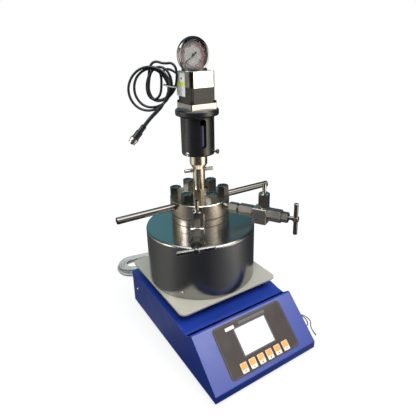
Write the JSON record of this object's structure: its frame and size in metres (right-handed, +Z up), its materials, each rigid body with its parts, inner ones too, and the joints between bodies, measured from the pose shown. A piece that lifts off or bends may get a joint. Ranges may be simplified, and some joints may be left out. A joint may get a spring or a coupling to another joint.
{
  "type": "hydrothermal reactor",
  "caption": "Bench-top stirred hydrothermal reactor: blue controller base, steel heating jacket, bolted vessel, angle needle valves, motor drive and pressure gauge.",
  "frame": {"origin": "floor level under the middle of the object's box, measured without the loose leads", "axes": "+Z up, -Y to the sloping control panel, +X to the right when facing the panel"},
  "size_m": [0.3754, 0.568, 0.6246],
  "materials": {
    "blue_paint": "semi-gloss powder coat",
    "floor_sheet": "matt",
    "foot_rubber": "matt",
    "overlay": "satin film",
    "window": "glossy",
    "key_film": "satin film",
    "black_plastic": "satin",
    "plate_paint": "satin enamel",
    "brushed": "brushed",
    "turned": "turned",
    "bright": "polished",
    "dark_steel": "black",
    "anodised": "satin black",
    "cast_alloy": "machined",
    "lamination": "black coated",
    "glass": "clear",
    "dial": "printed card",
    "pointer": "matt black",
    "black_jacket": "satin",
    "pale_jacket": "satin",
    "heater": "dull"
  },
  "bodies": {
    "reactor": {"base_housing": "blue_paint", "base_floor_plate": "floor_sheet", "rubber_feet": "foot_rubber", "panel_overlay": "overlay", "display_window": "window", "mains_gland": "black_plastic", "plate_posts": "dark_steel", "top_plate": "plate_paint", "jacket_shell": "brushed", "heater_sleeve": "heater", "vessel_body": "turned", "stud_bolts": "bright", "hex_nuts": "bright", "handle_rods": "bright", "valve_inlet_nuts": "bright", "valve_adapters": "bright", "valve_bodies": "bright", "valve_outlet_nuts": "bright", "valve_outlet_tubes": "bright", "valve_bonnets": "bright", "valve_gland_nuts": "bright", "drive_neck": "turned", "cooling_nipples": "turned", "lid": "turned", "coupling_housing": "anodised", "button_screws": "bright", "motor_flange": "cast_alloy", "motor_stator": "lamination", "motor_end_cap": "cast_alloy", "motor_screws": "bright", "gauge_riser": "turned", "gauge_case": "bright", "gauge_bezel": "bright", "gauge_glass": "glass", "gauge_dial": "dial", "motor_lead_hank": "black_jacket", "motor_lead": "black_jacket", "motor_lead_tail": "black_jacket", "motor_plug": "black_plastic", "mains_lead": "pale_jacket", "mains_coil": "pale_jacket", "mains_plug": "pale_jacket", "sensor_lead": "pale_jacket", "sensor_socket": "bright", "sensor_probe": "bright"},
    "key_1_body": {"key_1": "key_film"},
    "key_2_body": {"key_2": "key_film"},
    "key_3_body": {"key_3": "key_film"},
    "key_4_body": {"key_4": "key_film"},
    "key_5_body": {"key_5": "key_film"},
    "key_6_body": {"key_6": "key_film"},
    "switch_body": {"power_switch": "black_plastic"},
    "front_needle_body": {"front_valve_needle": "bright"},
    "front_handle_body": {"front_valve_handle": "bright"},
    "right_needle_body": {"right_valve_needle": "bright"},
    "right_handle_body": {"right_valve_handle": "bright"},
    "stirrer_body": {"stirrer_shaft": "bright"},
    "rotor_body": {"drive_rotor": "turned"},
    "thumb_body": {"thumb_screw": "bright"},
    "pointer_body": {"gauge_pointer": "pointer"}
  },
  "joints": [
    {"name": "key_1_press", "type": "slide", "parent": "reactor", "child": "key_1_body", "axis": [0, 0.6833, -0.7302], "range_m": [0, 0.0006], "stiffness_N_per_m": 400},
    {"name": "key_2_press", "type": "slide", "parent": "reactor", "child": "key_2_body", "axis": [0, 0.6833, -0.7302], "range_m": [0, 0.0006], "stiffness_N_per_m": 400},
    {"name": "key_3_press", "type": "slide", "parent": "reactor", "child": "key_3_body", "axis": [0, 0.6833, -0.7302], "range_m": [0, 0.0006], "stiffness_N_per_m": 400},
    {"name": "key_4_press", "type": "slide", "parent": "reactor", "child": "key_4_body", "axis": [0, 0.6833, -0.7302], "range_m": [0, 0.0006], "stiffness_N_per_m": 400},
    {"name": "key_5_press", "type": "slide", "parent": "reactor", "child": "key_5_body", "axis": [0, 0.6833, -0.7302], "range_m": [0, 0.0006], "stiffness_N_per_m": 400},
    {"name": "key_6_press", "type": "slide", "parent": "reactor", "child": "key_6_body", "axis": [0, 0.6833, -0.7302], "range_m": [0, 0.0006], "stiffness_N_per_m": 400},
    {"name": "switch_rock", "type": "hinge", "parent": "reactor", "child": "switch_body", "pos_m": [0.062, 0.16945, 0.046], "axis": [1, 0, 0], "range_deg": [-3, 3]},
    {"name": "front_valve_lift", "type": "slide", "parent": "reactor", "child": "front_needle_body", "axis": [-0.5417, -0.8406, 0], "range_m": [0, 0.00412]},
    {"name": "front_valve_turn", "type": "hinge", "parent": "front_needle_body", "child": "front_handle_body", "pos_m": [-0.11625, -0.13294, 0.286], "axis": [-0.5417, -0.8406, 0], "range_deg": [0, 990]},
    {"name": "right_valve_lift", "type": "slide", "parent": "reactor", "child": "right_needle_body", "axis": [0.4909, -0.8712, 0], "range_m": [0, 0.00412]},
    {"name": "right_valve_turn", "type": "hinge", "parent": "right_needle_body", "child": "right_handle_body", "pos_m": [0.10535, -0.13951, 0.286], "axis": [0.4909, -0.8712, 0], "range_deg": [0, 990]},
    {"name": "stirrer_turn", "type": "hinge", "parent": "reactor", "child": "stirrer_body", "pos_m": [0, 0.04745, 0.3], "axis": [0, 0, 1], "continuous": true},
    {"name": "rotor_turn", "type": "hinge", "parent": "reactor", "child": "rotor_body", "pos_m": [0, 0.04745, 0.46], "axis": [0, 0, 1], "continuous": true},
    {"name": "thumb_turn", "type": "hinge", "parent": "reactor", "child": "thumb_body", "pos_m": [0.02571, 0.01681, 0.401], "axis": [0.6428, -0.766, 0], "range_deg": [0, 720]},
    {"name": "pointer_turn", "type": "hinge", "parent": "reactor", "child": "pointer_body", "pos_m": [0.0318, 0.11025, 0.587], "axis": [0, 1, 0], "range_deg": [0, 256]}
  ],
  "couplings": [
    {"joint": "front_valve_turn", "follows": "front_valve_lift", "rad_per_m": 4188.8},
    {"joint": "right_valve_turn", "follows": "right_valve_lift", "rad_per_m": 4188.8},
    {"joint": "stirrer_turn", "follows": "rotor_turn", "ratio": 1}
  ]
}
